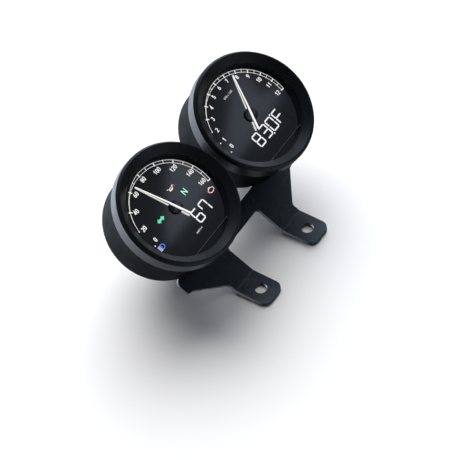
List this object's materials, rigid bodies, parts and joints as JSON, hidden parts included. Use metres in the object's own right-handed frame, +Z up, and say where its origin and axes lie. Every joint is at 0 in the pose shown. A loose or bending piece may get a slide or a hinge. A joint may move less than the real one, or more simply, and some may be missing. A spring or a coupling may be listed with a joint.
{
  "type": "motorcycle instrument cluster",
  "caption": "Twin round motorcycle gauges, a speedometer and a tachometer with needles over digital displays, in black cups on one folded bracket.",
  "frame": {"origin": "under the middle of the cluster's outline, level with the undersides of the bracket's feet", "axes": "+Z up, +Y forward along the motorcycle, +X to the rider's right; the dials lean back 30 degrees from level and face up and back towards the rider at -Y"},
  "size_m": [0.1752, 0.1134, 0.1078],
  "materials": {
    "satin_black": "satin black anodised",
    "gloss_black": "semi-gloss black anodised",
    "sheet_black": "gloss black powder coat",
    "clear": "clear, coated",
    "rubber": "matte",
    "face_black": "printed black with white backlit marks",
    "display": "dark liquid crystal with white segments",
    "needle_white": "white",
    "moulded_black": "moulded",
    "moulded_white": "natural acetal",
    "board_green": "solder mask",
    "zinc": "zinc plated"
  },
  "bodies": {
    "housing": {"bracket": "sheet_black", "speedo_bezel": "satin_black", "speedo_lens": "clear", "speedo_lens_gasket": "rubber", "speedo_spacer_ring": "gloss_black", "speedo_face": "face_black", "speedo_display": "display", "speedo_face_carrier": "moulded_black", "speedo_motor_case": "moulded_black", "speedo_circuit_board": "board_green", "speedo_inner_housing": "moulded_black", "speedo_cup": "gloss_black", "speedo_cable_grommet": "rubber", "speedo_cable": "rubber", "speedo_connector": "moulded_black", "speedo_board_screw_1": "zinc", "speedo_board_screw_2": "zinc", "speedo_board_screw_3": "zinc", "speedo_mount_grommet_left": "rubber", "speedo_mount_nut_left": "zinc", "speedo_mount_grommet_right": "rubber", "speedo_mount_nut_right": "zinc", "tach_bezel": "satin_black", "tach_lens": "clear", "tach_lens_gasket": "rubber", "tach_spacer_ring": "gloss_black", "tach_face": "face_black", "tach_display": "display", "tach_face_carrier": "moulded_black", "tach_motor_case": "moulded_black", "tach_circuit_board": "board_green", "tach_inner_housing": "moulded_black", "tach_cup": "gloss_black", "tach_cable_grommet": "rubber", "tach_cable": "rubber", "tach_connector": "moulded_black", "tach_board_screw_1": "zinc", "tach_board_screw_2": "zinc", "tach_board_screw_3": "zinc", "tach_mount_grommet_left": "rubber", "tach_mount_nut_left": "zinc", "tach_mount_grommet_right": "rubber", "tach_mount_nut_right": "zinc"},
    "speedo_pointer": {"speedo_needle": "needle_white", "speedo_needle_hub": "moulded_black", "speedo_needle_gear": "moulded_white"},
    "speedo_rotor": {"speedo_motor_rotor": "moulded_white"},
    "speedo_mode_key": {"speedo_mode_button": "rubber"},
    "speedo_set_key": {"speedo_set_button": "rubber"},
    "tach_pointer": {"tach_needle": "needle_white", "tach_needle_hub": "moulded_black", "tach_needle_gear": "moulded_white"},
    "tach_rotor": {"tach_motor_rotor": "moulded_white"},
    "tach_mode_key": {"tach_mode_button": "rubber"},
    "tach_set_key": {"tach_set_button": "rubber"}
  },
  "joints": [
    {"name": "speedo_needle_sweep", "type": "hinge", "parent": "housing", "child": "speedo_pointer", "pos_m": [-0.0446, 0.00441, 0.07867], "axis": [0, -0.5, 0.866], "range_deg": [-116.7, 84.3]},
    {"name": "speedo_rotor_spin", "type": "hinge", "parent": "housing", "child": "speedo_rotor", "pos_m": [-0.0446, 0.0148, 0.08467], "axis": [0, -0.5, 0.866], "range_deg": [-253.4, 350.6]},
    {"name": "speedo_mode_press", "type": "slide", "parent": "housing", "child": "speedo_mode_key", "axis": [0, -0.5, 0.866], "range_m": [0, 0.001]},
    {"name": "speedo_set_press", "type": "slide", "parent": "housing", "child": "speedo_set_key", "axis": [0, -0.5, 0.866], "range_m": [0, 0.001]},
    {"name": "tach_needle_sweep", "type": "hinge", "parent": "housing", "child": "tach_pointer", "pos_m": [0.0446, 0.00441, 0.07867], "axis": [0, -0.5, 0.866], "range_deg": [-71.9, 129.1]},
    {"name": "tach_rotor_spin", "type": "hinge", "parent": "housing", "child": "tach_rotor", "pos_m": [0.0446, 0.0148, 0.08467], "axis": [0, -0.5, 0.866], "range_deg": [-387.8, 216.2]},
    {"name": "tach_mode_press", "type": "slide", "parent": "housing", "child": "tach_mode_key", "axis": [0, -0.5, 0.866], "range_m": [0, 0.001]},
    {"name": "tach_set_press", "type": "slide", "parent": "housing", "child": "tach_set_key", "axis": [0, -0.5, 0.866], "range_m": [0, 0.001]}
  ],
  "couplings": [
    {"joint": "speedo_rotor_spin", "follows": "speedo_needle_sweep", "ratio": -3},
    {"joint": "tach_rotor_spin", "follows": "tach_needle_sweep", "ratio": -3}
  ]
}
